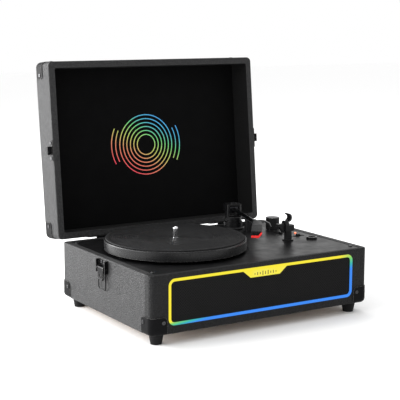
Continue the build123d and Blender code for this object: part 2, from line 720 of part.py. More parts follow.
# ---------------------------------------------------------------- back panel
def jack_panel():
    """The plate over the window in the back wall."""
    plate = facing(RectangleRounded(92, 34, 3), HALF_D, HALF_D + 1.5, JACKS_X, JACKS_Z)
    for dx, r in ((-30, 5.3), (-12, 5.3), (8, 3.6), (28, 5.0)):
        plate -= rod_y(r, HALF_D - 1, HALF_D + 3, JACKS_X + dx, JACKS_Z)
    return plate


def audio_jacks():
    """Two phono outputs and one small line input."""
    jacks = []
    for dx in (-30, -12):
        x = JACKS_X + dx
        shell = rod_y(4.15, HALF_D + 2, HALF_D + 10, x, JACKS_Z)
        shell += rod_y(5.2, HALF_D - 1, HALF_D + 2.4, x, JACKS_Z)
        shell += rod_y(6.5, HALF_D - 6, HALF_D - 0.1, x, JACKS_Z)
        jacks.append(shell - rod_y(1.6, HALF_D + 1, HALF_D + 11, x, JACKS_Z))
    x = JACKS_X + 8
    line = rod_y(3.5, HALF_D - 14, HALF_D + 2.6, x, JACKS_Z)
    line += rod_y(5.5, HALF_D - 14, HALF_D - 0.1, x, JACKS_Z)
    jacks.append(line - rod_y(1.8, HALF_D - 12.4, HALF_D + 4, x, JACKS_Z))
    return jacks


def dc_inlet():
    """The power inlet: a barrel with its centre pin."""
    x = JACKS_X + 28
    barrel = rod_y(4.9, HALF_D - 12, HALF_D + 2, x, JACKS_Z)
    barrel += rod_y(6.5, HALF_D - 12, HALF_D - 0.1, x, JACKS_Z)
    barrel -= rod_y(2.75, HALF_D - 8, HALF_D + 3, x, JACKS_Z)
    return barrel + rod_y(1.0, HALF_D - 9, HALF_D + 1, x, JACKS_Z)


# ---------------------------------------------------------------- feet, guards, screws
def feet():
    """Four tapered feet, hollowed for their screws."""
    solids = []
    for x, y in FEET:
        foot = Pos(x, y, 7) * Cone(FOOT_LOW_R, FOOT_TOP_R, 14)
        foot = fillet(foot.edges().group_by(Axis.Z)[0], 0.8)
        solids.append(foot - post(4.0, -1, 7, x, y) - post(1.9, 6, 15, x, y))
    return solids


def foot_screws():
    """The screws that hold the feet, with their nuts inside the case."""
    top = CASE_BOTTOM + 9
    return [
        post(3.5, 4.6, 7, x, y) + post(1.8, 7, top, x, y) + post(3.4, top - 5, top - 2, x, y)
        for x, y in FEET
    ]


def base_guards():
    """The four corner guards round the bottom of the case."""
    holes = [post(1.9, 0, 20, x, y) for x, y in FEET]
    holes += [face_hole(x, y, nx, ny, GUARD_SCREW_Z) for x, y, nx, ny in guard_screw_places()]
    return drill(corner_guards(CASE_BOTTOM, 1), holes)


def base_screws():
    """Screws of the corner guards, latch plates, hinge leaves and jack panel."""
    screws = [face_screw(x, y, nx, ny, GUARD_SCREW_Z, GUARD_T) for x, y, nx, ny in guard_screw_places()]
    for sx in (-1, 1):
        for dy in (-4.4, 4.4):
            screws.append(face_screw(sx * HALF_W, LATCH_Y + dy, sx, 0, LATCH_SCREW_Z, 1.0))
        for dx in (-13, 13):
            screws.append(face_screw(sx * HINGE_X + dx, HALF_D, 0, 1, 70, 1.2))
    for sx in (-1, 1):
        for sz in (-1, 1):
            screws.append(face_screw(JACKS_X + sx * 43, HALF_D, 0, 1, JACKS_Z + sz * 14, 1.5))
    return screws


# ---------------------------------------------------------------- latches
LATCH_HALF = 12.9
PLATE_T = 1.0
LEVER_X = HALF_W + 3.4
BAIL_X = HALF_W + 2.6


def latch_plate():
    """The left latch's channel with its two ears, drawn on the left side of the case."""
    x0 = -HALF_W - PLATE_T
    y0, y1 = LATCH_Y - LATCH_HALF, LATCH_Y + LATCH_HALF
    plate = block(x0, -HALF_W, y0, y1, 72.8, 90.2)
    for side in (-1, 1):
        edge = LATCH_Y + side * LATCH_HALF
        plate += block(x0 - 4.6, -HALF_W, *sorted((edge, edge - side * 1.2)), 72.8, 90.2)
        ear = facing(Circle(2.9), LATCH_Y - 0.6, LATCH_Y + 0.6, -LEVER_X, LEVER_Z)
        ear += block(-LEVER_X, x0 + 0.5, LATCH_Y - 0.6, LATCH_Y + 0.6, LEVER_Z - 2.9, LEVER_Z + 2.9)
        plate += Pos(0, side * 8.4, 0) * ear
    return plate - rod_y(1.0, -30, 30, -LEVER_X, LEVER_Z) - face_hole_pair()


def face_hole_pair():
    """The two screw holes of the left latch plate."""
    return group([face_hole(-HALF_W, LATCH_Y + dy, -1, 0, LATCH_SCREW_Z) for dy in (-4.4, 4.4)])


def latch_pin():
    """The left lever's pivot pin."""
    return rod_y(0.98, LATCH_Y - 9.1, LATCH_Y + 9.1, -LEVER_X, LEVER_Z)


def latch_lever():
    """The left lever: a knuckle, a hanging plate with an eye, and two side tabs that hold the bail."""
    x, z = -LEVER_X, LEVER_Z
    lever = rod_y(2.3, LATCH_Y - 7.4, LATCH_Y + 7.4, x, z)
    lever += block(x - 2.3, x - 0.9, LATCH_Y - 7.4, LATCH_Y + 7.4, 65.0, z)
    for side in (-1, 1):
        near, far = sorted((LATCH_Y + side * 5.6, LATCH_Y + side * 7.4))
        lever += block(x - 1.6, x + 2.3, near, far, BAIL_Z - 1.8, z)
    lever += rod_y(1.4, LATCH_Y - 7.4, LATCH_Y + 7.4, x - 2.0, 65.0)
    lever -= rod_x(2.2, x - 4, x + 1, LATCH_Y, 69.4)
    lever -= rod_y(WIRE_R + 0.06, -20, 20, -BAIL_X, BAIL_Z)
    return lever - rod_y(1.04, -20, 20, x, z)


def latch_bail():
    """The left wire bail, hanging from the lever."""
    low = BAIL_Z - BAIL_LEN
    turn = 4.0
    path = FilletPolyline(
        (-BAIL_X, LATCH_Y - 5.8, BAIL_Z),
        (-BAIL_X, LATCH_Y - BAIL_HALF, BAIL_Z),
        (-BAIL_X, LATCH_Y - BAIL_HALF, low),
        (-BAIL_X, LATCH_Y + BAIL_HALF, low),
        (-BAIL_X, LATCH_Y + BAIL_HALF, BAIL_Z),
        (-BAIL_X, LATCH_Y + 5.8, BAIL_Z),
        radius=[1.4, turn, turn, 1.4],
    )
    start = Plane(path @ 0, z_dir=path % 0)
    return sweep(start * Circle(WIRE_R), path=path)


# ---------------------------------------------------------------- hinges
def hinge_leaf(z0, z1, knuckles, bore):
    """A left hinge leaf on the back face from z0 to z1, its web and its knuckles about the pin."""
    x0, x1 = -HINGE_X - HINGE_HALF, HINGE_HALF - HINGE_X
    y, z = PIVOT[1], PIVOT[2]
    leaf = block(x0, x1, HALF_D, HALF_D + 1.2, z0, z1)
    near = z1 if abs(z1 - z) < abs(z0 - z) else z0
    for a, b in knuckles:
        leaf += rod_x(2.6, x0 + a, x0 + b, y, z)
        leaf += block(x0 + a, x0 + b, HALF_D, y, *sorted((near, near + (1.3 if z > near else -1.3))))
        leaf += block(x0 + a, x0 + b, y - 1.2, y, *sorted((near, z)))
    for dx in (-13, 13):
        hole_z = 70 if z1 < z + 1 else LID_HINGE_Z
        leaf -= Pos(-HINGE_X + dx, HALF_D, hole_z) * Rot(90, 0, 0) * Cylinder(1.3, 6)
    return leaf - rod_x(bore, x0 - 1, x1 + 1, y, z)


LID_HINGE_Z = 108.0


def base_hinge_leaf():
    """The leaf on the case, with the two outer knuckles."""
    return hinge_leaf(62, 83.8, ((0, 12), (28, 40)), 1.27)


def lid_hinge_leaf():
    """The leaf on the lid, with the middle knuckle."""
    return hinge_leaf(94.0, 114, ((12.3, 27.7),), 1.31)


def hinge_pin():
    """The left hinge's pin."""
    return rod_x(1.25, -HINGE_X - HINGE_HALF + 0.2, HINGE_HALF - HINGE_X - 0.2, PIVOT[1], PIVOT[2])


# ---------------------------------------------------------------- lid
LID_RIM = CASE_TOP + RIM_GAP
LID_CEILING = LID_TOP - LID_PANEL


def lid_shell():
    """The lid: four walls and the top panel in one, hollow below."""
    shell = shell_prism(LID_RIM, LID_TOP)
    shell -= upright(2 * INNER_W, 2 * INNER_D, 3.0, LID_RIM - 1, LID_CEILING)
    for x, y in FEET:
        shell -= post(1.25, LID_TOP - 3.0, LID_TOP + 3, x, y)
    for waste in corner_waste(LID_TOP, -1):
        shell -= waste
    for x, y, nx, ny in guard_screw_places():
        shell -= face_hole(x, y, nx, ny, LID_SCREW_Z)
    for sx in (-1, 1):
        for dy in (-11, 11):
            shell -= face_hole(sx * HALF_W, LATCH_Y + dy, sx, 0, LID_RIM + 6)
        for dx in (-13, 13):
            shell -= face_hole(sx * HINGE_X + dx, HALF_D, 0, 1, LID_HINGE_Z)
    return shell


def lid_lining():
    """The lining sheet inside the lid."""
    return upright(2 * INNER_W - 1, 2 * INNER_D - 1, 2.5, LID_CEILING - 0.8, LID_CEILING)


def lid_emblem():
    """A generic line design on the lining: rings like a record's grooves, with arcs at both sides."""
    z = LID_CEILING - 1.1
    lines = []
    for i in range(6):
        r = 46 - 6 * i
        lines.append(Circle(r) - Circle(r - 1.3))
    for i in range(2):
        r = 53 + 7 * i
        for side in (0, 180):
            fan = Rot(0, 0, side) * Polygon((0, 0), (80, -40), (80, 40), align=None)
            lines.append((Circle(r) - Circle(r - 1.3)) & fan)
    return [Pos(0, 0, z) * extrude(line, 0.3) for line in lines]


def lid_guards():
    """The four corner guards round the top of the lid."""
    holes = [face_hole(x, y, nx, ny, LID_SCREW_Z) for x, y, nx, ny in guard_screw_places()]
    holes += [post(1.25, LID_TOP - 3.5, LID_TOP + 3, x, y) for x, y in FEET]
    return drill(corner_guards(LID_TOP, -1), holes)


def lid_catch():
    """The left catch: a plate with a hook that opens upwards when the lid is closed."""
    x = -HALF_W - PLATE_T
    z = LID_RIM + 0.6
    plate = block(x, -HALF_W, LATCH_Y - 15, LATCH_Y + 15, z, z + 11)
    plate = fillet(plate.edges().filter_by(Axis.X), 2.0)
    hook = block(x - 6.4, x + 0.5, LATCH_Y - 6, LATCH_Y + 6, 96.4, 97.9)
    lip = block(x - 6.4, x - 5.1, LATCH_Y - 6, LATCH_Y + 6, 96.4, 101.4)
    holes = [face_hole(-HALF_W, LATCH_Y + dy, -1, 0, LID_RIM + 6) for dy in (-11, 11)]
    return plate + hook + lip - group(holes)


def lid_screws():
    """Screws of the lid's guards, catches and hinge leaves."""
    screws = [face_screw(x, y, nx, ny, LID_SCREW_Z, GUARD_T) for x, y, nx, ny in guard_screw_places()]
    screws += [Pos(x, y, LID_TOP + GUARD_T) * screw(2.6, 0.9, 1.2, 3.8) for x, y in FEET]
    for sx in (-1, 1):
        for dy in (-11, 11):
            screws.append(face_screw(sx * HALF_W, LATCH_Y + dy, sx, 0, LID_RIM + 6, PLATE_T))
        for dx in (-13, 13):
            screws.append(face_screw(sx * HINGE_X + dx, HALF_D, 0, 1, LID_HINGE_Z, 1.2))
    return screws


# ---------------------------------------------------------------- the whole
def drilled_case():
    """The base case with the holes for its hardware."""
    case = base_case()
    for sx in (-1, 1):
        for dy in (-4.4, 4.4):
            case -= face_hole(sx * HALF_W, LATCH_Y + dy, sx, 0, LATCH_SCREW_Z)
        for dx in (-13, 13):
            case -= face_hole(sx * HINGE_X + dx, HALF_D, 0, 1, 70)
    for sx in (-1, 1):
        for sz in (-1, 1):
            case -= face_hole(JACKS_X + sx * 43, HALF_D, 0, 1, JACKS_Z + sz * 14)
    return case


def drilled_jack_panel():
    """The jack panel with its screw holes."""
    plate = jack_panel()
    for sx in (-1, 1):
        for sz in (-1, 1):
            plate -= face_hole(JACKS_X + sx * 43, HALF_D, 0, 1, JACKS_Z + sz * 14)
    return plate


def all_nodes():
    """Every node's shape, in the frame of the case."""
    bail, lever = latch_bail(), latch_lever()
    nodes = {
        "base_case": drilled_case(),
        "bottom_panel": bottom_panel(),
        "front_panel": front_panel(),
        "light_ring": light_ring(),
        "badge": badge(),
        "speaker_grille": speaker_grille(),
        "led_board": led_board(),
        "speaker_baffle": speaker_baffle(),
        "speaker_baskets": group([driver_basket(-DRIVER_X), driver_basket(DRIVER_X)]),
        "speaker_cones": group([driver_cone(-DRIVER_X), driver_cone(DRIVER_X)]),
        "deck_plate": deck_plate(),
        "deck_screws": group(deck_screws()),
        "spindle_bearing": spindle_bearing(),
        "spindle": spindle(),
        "thrust_washer": thrust_washer(),
        "circlip": circlip(),
        "platter": platter(),
        "slipmat": slipmat(),
        "motor": motor(),
        "motor_pulley": motor_pulley(),
        "drive_belt": drive_belt(),
        "amp_board": group(amp_board()),
        "volume_knob": volume_knob(),
        "pilot_lamp": pilot_lamp(),
        "speed_switch": switch_cap(SPEED, 0, 0),
        "autostop_switch": switch_cap(AUTOSTOP, 90, -4),
        "headphone_jack": headphone_jack(),
        "tonearm_base": tonearm_base(),
        "arm_turret": arm_turret(),
        "arm_tube": arm_tube(),
        "counterweight": counterweight(),
        "headshell": headshell(),
        "cartridge": cartridge(),
        "stylus": stylus(),
        "cue_housing": cue_housing(),
        "cue_platform": cue_platform(),
        "cue_lever": cue_lever(),
        "arm_rest": arm_rest(),
        "arm_clip": arm_clip(),
        "jack_panel": drilled_jack_panel(),
        "audio_jacks": group(audio_jacks()),
        "dc_inlet": dc_inlet(),
        "feet": group(feet()),
        "foot_screws": group(foot_screws()),
        "base_guards": group(base_guards()),
        "base_screws": group(base_screws()),
        "latch_plates": group(both_sides(latch_plate())),
        "latch_lever_left": lever,
        "latch_lever_right": mirrored(lever),
        "latch_bail_left": bail,
        "latch_bail_right": mirrored(bail),
        "hinge_base_leaves": group(both_sides(base_hinge_leaf())),
        "steel_pins": group(both_sides(hinge_pin()) + both_sides(latch_pin())),
        "lid_shell": opened(lid_shell()),
        "lid_lining": opened(lid_lining()),
        "lid_emblem": group([opened(line) for line in lid_emblem()]),
        "lid_guards": group([opened(guard) for guard in lid_guards()]),
        "lid_catches": group([opened(catch) for catch in both_sides(lid_catch())]),
        "lid_hinge_leaves": group([opened(leaf) for leaf in both_sides(lid_hinge_leaf())]),
        "lid_screws": group([opened(one) for one in lid_screws()]),
    }
    return nodes


def footprint_shift(nodes):
    """How far forward the set moves, so that the origin is under the middle of the opened object."""
    boxes = [shape.bounding_box() for shape in nodes.values()]
    return (min(b.min.Y for b in boxes) + max(b.max.Y for b in boxes)) / 2


def main():
    os.makedirs("parts", exist_ok=True)
    nodes = all_nodes()
    shift = footprint_shift(nodes)
    print("nodes", len(nodes), "shift along Y", round(-shift, 3))
    for name, shape in nodes.items():
        export_step(Pos(0, -shift, 0) * shape, f"parts/{name}.step")


if __name__ == "__main__":
    main()
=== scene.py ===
"""Looks of the suitcase record player: materials, small surface pieces, light and camera."""

import math

import bpy
from mathutils import Matrix, Vector


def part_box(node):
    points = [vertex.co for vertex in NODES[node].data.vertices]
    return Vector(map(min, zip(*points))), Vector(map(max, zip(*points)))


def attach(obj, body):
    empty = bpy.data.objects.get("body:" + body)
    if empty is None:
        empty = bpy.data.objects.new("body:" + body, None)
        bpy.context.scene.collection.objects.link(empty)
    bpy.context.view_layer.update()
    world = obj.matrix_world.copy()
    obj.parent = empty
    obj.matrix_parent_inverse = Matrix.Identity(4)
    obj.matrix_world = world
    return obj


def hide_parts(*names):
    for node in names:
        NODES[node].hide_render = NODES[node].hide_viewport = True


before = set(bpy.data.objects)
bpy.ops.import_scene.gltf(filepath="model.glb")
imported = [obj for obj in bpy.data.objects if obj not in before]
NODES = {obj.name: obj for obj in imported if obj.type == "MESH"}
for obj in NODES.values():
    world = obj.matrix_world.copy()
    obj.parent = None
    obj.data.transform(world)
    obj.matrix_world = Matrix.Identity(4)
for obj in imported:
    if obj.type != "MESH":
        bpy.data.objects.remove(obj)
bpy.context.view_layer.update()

MM = 0.001


# ---------------------------------------------------------------- the frame's own places
def low(node):
    """A node's lowest corner."""
    return Vector(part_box(node)[0])


def high(node):
    """A node's highest corner."""
    return Vector(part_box(node)[1])


def middle(node):
    """The middle of a node's box."""
    return (low(node) + high(node)) / 2


CASE_BACK = high("base_case").y
CASE_FRONT = low("front_panel").y
CASE_MID = Vector((0, (CASE_BACK + CASE_FRONT) / 2, 0))

# Sizes of the surface pieces. WEAVE is the strands' pitch along X or Z, or 2.6 mm across the strands.
WEAVE = 3.7 * MM
WEAVE_STEP = 0.5 * MM
WEAVE_DEPTH = 0.6 * MM
GRILLE_CORNER = 4 * MM
MAT_HOLE_R = 6.5 * MM
MAT_LABEL_R = 51 * MM
MAT_RIB = 2.4 * MM
MAT_MARGIN = 6 * MM
MAT_STEPS = 160
METER_BARS = (0.20, 0.42, 0.30, 0.62, 0.46, 0.62, 0.30, 0.42, 0.20)
METER_PITCH = 4.2 * MM
METER_BAR_W = 1.2 * MM
METER_BAR_H = 0.12 * MM
POINTER_ANGLE = math.radians(229.0)
POINTER_W = 0.8 * MM
POINTER_H = 0.25 * MM
POINTER_SUNK = 0.5 * MM
DASH_PITCH = 5 * MM
DASH_AWAY = 5.6 * MM
DASH_LENGTH = 2.2 * MM
DASH_W = 0.7 * MM
TICKS = 11
TICK_SWEEP = math.radians(280.0)
TICK_R = 12.2 * MM
TICK_LENGTH = 1.5 * MM
LONG_TICK_LENGTH = 2.4 * MM
TICK_W = 0.45 * MM
PAINT_H = 0.1 * MM
SUNK = 0.02 * MM


# ---------------------------------------------------------------- shader helpers
class Shader:
    """A material under construction: its tree, its principled shader and short ways to add nodes."""

    def __init__(self, name):
        self.material = bpy.data.materials.new(name)
        self.material.use_nodes = True
        self.tree = self.material.node_tree
        self.surface = self.tree.nodes["Principled BSDF"]
        self.where = self.tree.nodes.new("ShaderNodeTexCoord").outputs["Object"]

    def set(self, **values):
        """Sets plain values on the shader's own sockets, named with underscores for spaces."""
        for name, value in values.items():
            socket = self.surface.inputs[name.replace("_", " ")]
            if hasattr(socket.default_value, "__len__") and len(value) == 3:
                value = (*value, 1.0)
            socket.default_value = value
        return self

    def node(self, kind, links=None, **values):
        """Adds a node, with its plain properties, its socket values and its links from other outputs."""
        made = self.tree.nodes.new(kind)
        for name, value in values.items():
            setattr(made, name, value)
        for socket, value in (links or {}).items():
            target = made.inputs[socket]
            if isinstance(value, bpy.types.NodeSocket):
                self.tree.links.new(value, target)
            else:
                target.default_value = value
        return made

    def link(self, output, socket):
        """Links an output to a socket of the shader."""
        self.tree.links.new(output, self.surface.inputs[socket])

    def stretched(self, sx, sy, sz):
        """The object's coordinates scaled unevenly."""
        links = {"Vector": self.where, "Scale": (sx, sy, sz)}
        return self.node("ShaderNodeMapping", links).outputs["Vector"]

    def noise(self, scale, detail=4.0, rough=0.55, vector=None):
        """Fractal noise."""
        links = {"Vector": vector or self.where, "Scale": scale, "Detail": detail, "Roughness": rough}
        return self.node("ShaderNodeTexNoise", links).outputs["Fac"]

    def cells(self, scale, feature="F1", vector=None):
        """Distance in a cellular pattern."""
        links = {"Vector": vector or self.where, "Scale": scale}
        return self.node("ShaderNodeTexVoronoi", links, feature=feature).outputs["Distance"]

    def ramp(self, fac, low_in, high_in, low_out=0.0, high_out=1.0):
        """Maps a value from one range to another, held at both ends."""
        links = {"Value": fac, "From Min": low_in, "From Max": high_in}
        links.update({"To Min": low_out, "To Max": high_out})
        return self.node("ShaderNodeMapRange", links).outputs["Result"]

    def math(self, operation, a, b=0.0):
        """One arithmetic step."""
        return self.node("ShaderNodeMath", {0: a, 1: b}, operation=operation).outputs[0]

    def vector(self, operation, a, b, output):
        """One step with vectors."""
        return self.node("ShaderNodeVectorMath", {0: a, 1: b}, operation=operation).outputs[output]

    def blend(self, fac, a, b):
        """Mixes two colours."""
        made = self.tree.nodes.new("ShaderNodeMix")
        made.data_type = "RGBA"
        for index, value in ((0, fac), (6, a), (7, b)):
            if isinstance(value, bpy.types.NodeSocket):
                self.tree.links.new(value, made.inputs[index])
            else:
                made.inputs[index].default_value = value if index == 0 else (*value, 1.0)
        return made.outputs[2]

    def edges(self, radius):
        """1 on sharp outer edges, 0 on flats."""
        bevel = self.node("ShaderNodeBevel", {"Radius": radius}, samples=4).outputs["Normal"]
        flat = self.node("ShaderNodeNewGeometry").outputs["Normal"]
        return self.ramp(self.vector("DOT_PRODUCT", bevel, flat, "Value"), 0.985, 0.75)

    def facing_in(self, centre):
        """1 on faces that look towards a point inside the object, 0 on the others."""
        normal = self.node("ShaderNodeTexCoord").outputs["Normal"]
        offset = self.vector("SUBTRACT", self.where, centre, "Vector")
        return self.math("LESS_THAN", self.vector("DOT_PRODUCT", offset, normal, "Value"))

    def bump(self, heights, distance=0.0002):
        """Adds bumps, each a height and its strength, to the shader's normal."""
        normal = None
        for height, strength in heights:
            links = {"Height": height, "Strength": strength, "Distance": distance}
            if normal is not None:
                links["Normal"] = normal
            normal = self.node("ShaderNodeBump", links).outputs["Normal"]
        self.link(normal, "Normal")
        return self


LINING = (0.0022, 0.0022, 0.0023)


def leatherette(name, dark, light, roughness, level, lined=None):
    """Fine pebbled leatherette: small cells whose creases are painted darker as shade, random dark specks,
    patchy sheen and a patchy painted highlight on sharp edges.

    On the node named by lined, the faces that look inwards have the lining's dull black instead.
    """
    s = Shader(name)
    grain = s.cells(560.0)
    crease = s.ramp(s.cells(380.0, "DISTANCE_TO_EDGE"), 0.0, 0.16)
    patch = s.noise(70.0, 5.0)
    speck = s.noise(420.0, 3.0, 0.7)
    # Darker on random specks, and painted shade in the grain's creases.
    speck_tone_and_crease_shade = s.math("MULTIPLY", s.ramp(speck, 0.38, 0.66), s.ramp(crease, 0.0, 1.0, 0.25, 1.0))
    base = s.blend(speck_tone_and_crease_shade, dark, light)
    # Painted highlight: sharp edges lightened in patches.
    edge_highlight = s.math("MULTIPLY", s.edges(0.0012), s.ramp(s.noise(160.0), 0.4, 0.7, 0.1, 0.5))
    shade = s.blend(edge_highlight, base, [c * 2.4 + 0.01 for c in light])
    gloss = s.ramp(patch, 0.3, 0.7, roughness - 0.02, roughness + 0.04)
    if lined:
        inward = s.facing_in(middle(lined))
        shade = s.blend(inward, shade, LINING)
        gloss = s.math("MAXIMUM", gloss, s.math("MULTIPLY", inward, 0.95))
    s.link(shade, "Base Color")
    s.link(gloss, "Roughness")
    s.set(Specular_IOR_Level=level)
    return s.bump(((grain, 0.8), (crease, 0.6), (speck, 0.6)), 0.0006).material


def moulded(name, colour, roughness, spark=0.12, grain=1500.0, level=0.5, ripple=0.04):
    """Moulded plastic: a spark-eroded texture, faint flow marks and a painted highlight on its sharp
    edges.
    """
    s = Shader(name)
    fine = s.noise(grain, 3.0)
    flow = s.noise(24.0, 4.0)
    # Painted highlight: every sharp edge lightened evenly.
    edge_highlight = s.math("MULTIPLY", s.edges(0.0006), 0.35)
    shade = s.blend(s.ramp(flow, 0.3, 0.75), colour, [c * 1.35 + 0.002 for c in colour])
    s.link(s.blend(edge_highlight, shade, [c * 2.5 + 0.03 for c in colour]), "Base Color")
    s.link(s.ramp(s.noise(60.0, 5.0), 0.3, 0.7, roughness - 0.06, roughness + 0.08), "Roughness")
    s.set(Specular_IOR_Level=level)
    return s.bump(((fine, spark), (flow, ripple)), 0.00015).material


def lacquered(name, colour, roughness, level, edge_highlight_strength=0.9):
    """Black lacquered steel: orange peel, hairline scratches and a patchy painted highlight, lighter and
    metallic, on its sharp edges.
    """
    s = Shader(name)
    peel = s.noise(420.0, 2.0)
    hair = s.noise(90.0, 8.0, 0.7, s.stretched(1.0, 9.0, 9.0))
    # Painted highlight: sharp edges lightened and made metallic in patches.
    metal_edge_highlight = s.math("MULTIPLY", s.edges(0.0007), s.ramp(s.noise(260.0), 0.42, 0.62, edge_highlight_strength / 6, edge_highlight_strength))
    s.link(s.blend(metal_edge_highlight, colour, (0.34, 0.33, 0.32)), "Base Color")
    s.link(s.ramp(hair, 0.35, 0.7, roughness - 0.08, roughness + 0.14), "Roughness")
    s.link(s.math("MULTIPLY", metal_edge_highlight, 0.9), "Metallic")
    s.set(Specular_IOR_Level=level)
    return s.bump(((peel, 0.12), (hair, 0.06))).material


def bare_metal(name, colour, roughness, brushed=(1.0, 1.0, 14.0)):
    """Bare or plated metal with brushing, smudges and tarnish."""
    s = Shader(name)
    lines = s.noise(260.0, 6.0, 0.7, s.stretched(*brushed))
    smudge = s.noise(70.0, 4.0)
    s.link(s.blend(s.ramp(smudge, 0.35, 0.75), colour, [c * 0.72 for c in colour]), "Base Color")
    s.link(s.ramp(lines, 0.3, 0.7, roughness - 0.08, roughness + 0.12), "Roughness")
    s.set(Metallic=1.0)
    return s.bump(((lines, 0.1), (smudge, 0.03)), 0.0001).material


def rubber(name):
    """Matt black rubber with a fine grain and a patchy bloom."""
    s = Shader(name)
    fine = s.noise(1100.0, 3.0)
    bloom = s.noise(120.0, 5.0)
    s.link(s.blend(s.ramp(bloom, 0.4, 0.8), (0.004, 0.004, 0.0045), (0.012, 0.012, 0.0125)), "Base Color")
    s.link(s.ramp(bloom, 0.3, 0.7, 0.55, 0.78), "Roughness")
    s.set(Specular_IOR_Level=0.16)
    return s.bump(((fine, 0.25), (bloom, 0.08)), 0.0002).material


def flocked(name, colour):
    """Flocked or felted cloth: short fibres with a nap."""
    s = Shader(name)
    fibre = s.noise(2600.0, 4.0, 0.8)
    nap = s.noise(45.0, 4.0)
    shade = s.blend(s.ramp(nap, 0.3, 0.75), colour, [c * 1.5 for c in colour])
    s.link(s.blend(s.ramp(fibre, 0.45, 0.75), shade, [c * 2.2 for c in colour]), "Base Color")
    s.link(s.ramp(fibre, 0.3, 0.7, 0.86, 0.98), "Roughness")
    s.set(Specular_IOR_Level=0.06)
    return s.bump(((fibre, 0.6), (nap, 0.1)), 0.0003).material


def fibreboard(name):
    """Unfinished fibreboard."""
    s = Shader(name)
    fibre = s.noise(700.0, 6.0, 0.7, s.stretched(1.0, 2.5, 1.0))
    cloud = s.noise(30.0, 4.0)
    s.link(s.blend(fibre, (0.17, 0.105, 0.055), (0.36, 0.25, 0.15)), "Base Color")
    s.link(s.ramp(cloud, 0.3, 0.7, 0.75, 0.92), "Roughness")
    return s.bump(((fibre, 0.5), (cloud, 0.1)), 0.0003).material


def circuit(name):
    """A circuit board's green mask over copper tracks."""
    s = Shader(name)
    tracks = s.ramp(s.cells(260.0, "DISTANCE_TO_EDGE"), 0.05, 0.09)
    s.link(s.blend(tracks, (0.02, 0.16, 0.06), (0.008, 0.06, 0.025)), "Base Color")
    s.link(s.ramp(s.noise(300.0), 0.3, 0.7, 0.28, 0.45), "Roughness")
    return s.bump(((tracks, 0.3),), 0.0001).material


def colour_run(s, stops, fac):
    """A run of colours along a value, given as (place, colour) pairs."""
    made = s.node("ShaderNodeValToRGB", {"Fac": fac})
    run = made.color_ramp
    while len(run.elements) < len(stops):
        run.elements.new(0.5)
    for element, (place, colour) in zip(run.elements, stops):
        element.position = place
        element.color = (*colour, 1.0)
    return made.outputs["Color"]


YELLOW = (1.0, 0.84, 0.045)
GREEN = (0.22, 0.68, 0.16)
TEAL = (0.05, 0.52, 0.42)
BLUE = (0.05, 0.27, 0.95)
RING_SLANT = 1.068


def lit_ring(name):
    """Milky plastic lit from behind: yellow above and at the left, blue below and at the right."""
    s = Shader(name)
    box_low, box_high = low("light_ring"), high("light_ring")
    split = s.node("ShaderNodeSeparateXYZ", {"Vector": s.where})
    along = s.ramp(split.outputs["X"], box_low.x, box_high.x)
    up = s.ramp(split.outputs["Z"], box_low.z, box_high.z)
    fall = s.math("POWER", s.math("SUBTRACT", 1.0, up), 1.5)
    place = s.math("ADD", s.math("SUBTRACT", along, RING_SLANT), s.math("MULTIPLY", fall, RING_SLANT))
    place = s.ramp(place, -RING_SLANT, 1.0)
    ripple = s.noise(110.0, 2.0)
    place = s.math("ADD", place, s.math("MULTIPLY", s.math("SUBTRACT", ripple, 0.5), 0.012))
    stops = ((0.0, YELLOW), (0.452, YELLOW), (0.488, GREEN), (0.528, TEAL), (0.575, BLUE), (1.0, BLUE))
    colour = colour_run(s, stops, place)
    s.link(s.blend(0.88, colour, (0.0, 0.0, 0.0)), "Base Color")
    s.link(colour, "Emission Color")
    s.link(s.ramp(s.noise(40.0), 0.3, 0.7, 0.30, 0.42), "Roughness")
    s.set(Emission_Strength=0.84, Specular_IOR_Level=0.1)
    return s.bump(((s.noise(500.0), 0.05),)).material


def lit_badge(name):
    """The badge's yellow face, lit from behind like the ring's top."""
    s = Shader(name)
    cloud = s.noise(60.0, 3.0)
    colour = s.blend(s.ramp(cloud, 0.3, 0.7), YELLOW, (0.95, 0.86, 0.12))
    s.link(s.blend(0.85, colour, (0.0, 0.0, 0.0)), "Base Color")
    s.link(colour, "Emission Color")
    s.link(s.ramp(cloud, 0.3, 0.7, 0.3, 0.45), "Roughness")
    s.set(Emission_Strength=0.8, Specular_IOR_Level=0.1)
    return s.bump(((s.noise(600.0), 0.06),)).material


def printed_lines_painted_glow(name):
    """Printed lines, from blue at the top right, through green, to red at the bottom left, brightened by a
    painted glow.
    """
    s = Shader(name)
    box_low, box_high = low("lid_emblem"), high("lid_emblem")
    split = s.node("ShaderNodeSeparateXYZ", {"Vector": s.where})
    along = s.ramp(split.outputs["X"], box_low.x, box_high.x)
    down = s.ramp(split.outputs["Z"], box_high.z, box_low.z)
    left = s.math("SUBTRACT", 1.0, along)
    place = s.math("ADD", s.math("MULTIPLY", left, 0.42), s.math("MULTIPLY", down, 0.58))
    stops = (
        (0.10, (0.04, 0.24, 0.66)),
        (0.26, (0.04, 0.34, 0.50)),
        (0.38, (0.12, 0.52, 0.16)),
        (0.52, (0.42, 0.48, 0.10)),
        (0.66, (0.62, 0.20, 0.10)),
        (0.84, (0.66, 0.04, 0.07)),
    )
    colour = colour_run(s, stops, place)
    s.link(colour, "Base Color")
    s.link(colour, "Emission Color")
    s.link(s.ramp(s.noise(200.0), 0.3, 0.7, 0.35, 0.5), "Roughness")
    # Painted glow: the print is no lamp.
    s.set(Emission_Strength=0.35)
    return s.bump(((s.noise(900.0), 0.08),)).material


